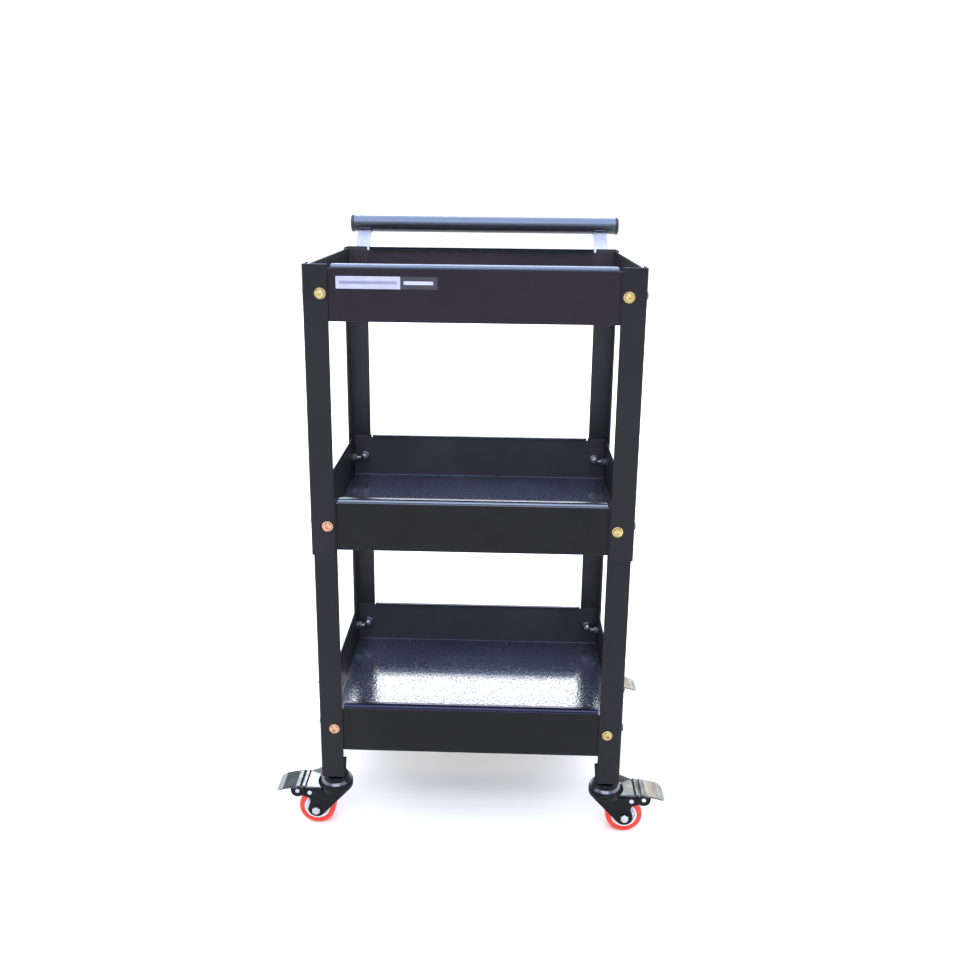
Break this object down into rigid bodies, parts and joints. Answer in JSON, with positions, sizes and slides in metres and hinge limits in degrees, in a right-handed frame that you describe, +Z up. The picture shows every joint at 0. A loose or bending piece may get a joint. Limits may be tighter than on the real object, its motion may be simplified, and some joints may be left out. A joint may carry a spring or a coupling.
{
  "type": "rolling tool cart",
  "caption": "Open rolling tool cart with stacked sheet-metal trays bolted to angle legs, a tubular push handle at the back and braked swivel casters.",
  "frame": {"origin": "on the floor, at the middle of the cart's overall footprint", "axes": "+X to the right seen from the front, +Y from the front to the handle at the back, +Z up"},
  "size_m": [0.5234, 0.3568, 0.8045],
  "materials": {
    "black_powder_coat": "semi-gloss fine-textured powder coat",
    "black_plastic": "satin moulded plastic",
    "yellow_zinc": "yellow passivated zinc on steel",
    "zinc_plate": "bright zinc plating",
    "black_oxide": "satin black caster hardware",
    "red_polyurethane": "smooth cast tyre bonded on a white hub"
  },
  "bodies": {
    "cart": {"tray_top": "black_powder_coat", "tray_middle": "black_powder_coat", "tray_bottom": "black_powder_coat", "upper_leg_front_left": "black_powder_coat", "lower_leg_front_left": "black_powder_coat", "caster_stem_front_left": "black_oxide", "upper_leg_front_right": "black_powder_coat", "lower_leg_front_right": "black_powder_coat", "caster_stem_front_right": "black_oxide", "upper_leg_back_left": "black_powder_coat", "lower_leg_back_left": "black_powder_coat", "caster_stem_back_left": "black_oxide", "upper_leg_back_right": "black_powder_coat", "lower_leg_back_right": "black_powder_coat", "caster_stem_back_right": "black_oxide", "bolt_top_front_left_end": "yellow_zinc", "bolt_top_front_left_side": "yellow_zinc", "bolt_top_front_right_end": "yellow_zinc", "bolt_top_front_right_side": "yellow_zinc", "bolt_top_back_left_end": "yellow_zinc", "bolt_top_back_left_side": "yellow_zinc", "bolt_top_back_right_end": "yellow_zinc", "bolt_top_back_right_side": "yellow_zinc", "bolt_middle_front_left_end": "yellow_zinc", "bolt_middle_front_left_side": "yellow_zinc", "bolt_middle_front_right_end": "yellow_zinc", "bolt_middle_front_right_side": "yellow_zinc", "bolt_middle_back_left_end": "yellow_zinc", "bolt_middle_back_left_side": "yellow_zinc", "bolt_middle_back_right_end": "yellow_zinc", "bolt_middle_back_right_side": "yellow_zinc", "bolt_bottom_front_left_end": "yellow_zinc", "bolt_bottom_front_left_side": "yellow_zinc", "bolt_bottom_front_right_end": "yellow_zinc", "bolt_bottom_front_right_side": "yellow_zinc", "bolt_bottom_back_left_end": "yellow_zinc", "bolt_bottom_back_left_side": "yellow_zinc", "bolt_bottom_back_right_end": "yellow_zinc", "bolt_bottom_back_right_side": "yellow_zinc", "handle_tube": "black_powder_coat", "handle_cap_left": "black_plastic", "handle_bracket_left": "zinc_plate", "handle_cap_right": "black_plastic", "handle_bracket_right": "zinc_plate"},
    "fork_front_left": {"caster_fork_front_left": "black_oxide", "caster_axle_front_left": "zinc_plate"},
    "wheel_front_left": {"caster_wheel_front_left": "red_polyurethane"},
    "brake_front_left": {"caster_brake_front_left": "zinc_plate"},
    "fork_front_right": {"caster_fork_front_right": "black_oxide", "caster_axle_front_right": "zinc_plate"},
    "wheel_front_right": {"caster_wheel_front_right": "red_polyurethane"},
    "brake_front_right": {"caster_brake_front_right": "zinc_plate"},
    "fork_back_left": {"caster_fork_back_left": "black_oxide", "caster_axle_back_left": "zinc_plate"},
    "wheel_back_left": {"caster_wheel_back_left": "red_polyurethane"},
    "brake_back_left": {"caster_brake_back_left": "zinc_plate"},
    "fork_back_right": {"caster_fork_back_right": "black_oxide", "caster_axle_back_right": "zinc_plate"},
    "wheel_back_right": {"caster_wheel_back_right": "red_polyurethane"},
    "brake_back_right": {"caster_brake_back_right": "zinc_plate"}
  },
  "joints": [
    {"name": "swivel_front_left", "type": "hinge", "parent": "cart", "child": "fork_front_left", "pos_m": [-0.182, -0.1552, 0.058], "axis": [0, 0, 1], "continuous": true},
    {"name": "spin_front_left", "type": "hinge", "parent": "fork_front_left", "child": "wheel_front_left", "pos_m": [-0.208, -0.1552, 0.025], "axis": [0, 1, 0], "continuous": true},
    {"name": "brake_tilt_front_left", "type": "hinge", "parent": "fork_front_left", "child": "brake_front_left", "pos_m": [-0.2325, -0.1552, 0.0545], "axis": [0, -1, 0], "range_deg": [0, 10]},
    {"name": "swivel_front_right", "type": "hinge", "parent": "cart", "child": "fork_front_right", "pos_m": [0.182, -0.1552, 0.058], "axis": [0, 0, 1], "continuous": true},
    {"name": "spin_front_right", "type": "hinge", "parent": "fork_front_right", "child": "wheel_front_right", "pos_m": [0.208, -0.1552, 0.025], "axis": [0, 1, 0], "continuous": true},
    {"name": "brake_tilt_front_right", "type": "hinge", "parent": "fork_front_right", "child": "brake_front_right", "pos_m": [0.2325, -0.1552, 0.0545], "axis": [0, 1, 0], "range_deg": [0, 10]},
    {"name": "swivel_back_left", "type": "hinge", "parent": "cart", "child": "fork_back_left", "pos_m": [-0.182, 0.1088, 0.058], "axis": [0, 0, 1], "continuous": true},
    {"name": "spin_back_left", "type": "hinge", "parent": "fork_back_left", "child": "wheel_back_left", "pos_m": [-0.208, 0.1088, 0.025], "axis": [0, 1, 0], "continuous": true},
    {"name": "brake_tilt_back_left", "type": "hinge", "parent": "fork_back_left", "child": "brake_back_left", "pos_m": [-0.2325, 0.1088, 0.0545], "axis": [0, -1, 0], "range_deg": [0, 10]},
    {"name": "swivel_back_right", "type": "hinge", "parent": "cart", "child": "fork_back_right", "pos_m": [0.182, 0.1088, 0.058], "axis": [0, 0, 1], "continuous": true},
    {"name": "spin_back_right", "type": "hinge", "parent": "fork_back_right", "child": "wheel_back_right", "pos_m": [0.208, 0.1088, 0.025], "axis": [0, 1, 0], "continuous": true},
    {"name": "brake_tilt_back_right", "type": "hinge", "parent": "fork_back_right", "child": "brake_back_right", "pos_m": [0.2325, 0.1088, 0.0545], "axis": [0, 1, 0], "range_deg": [0, 10]}
  ]
}
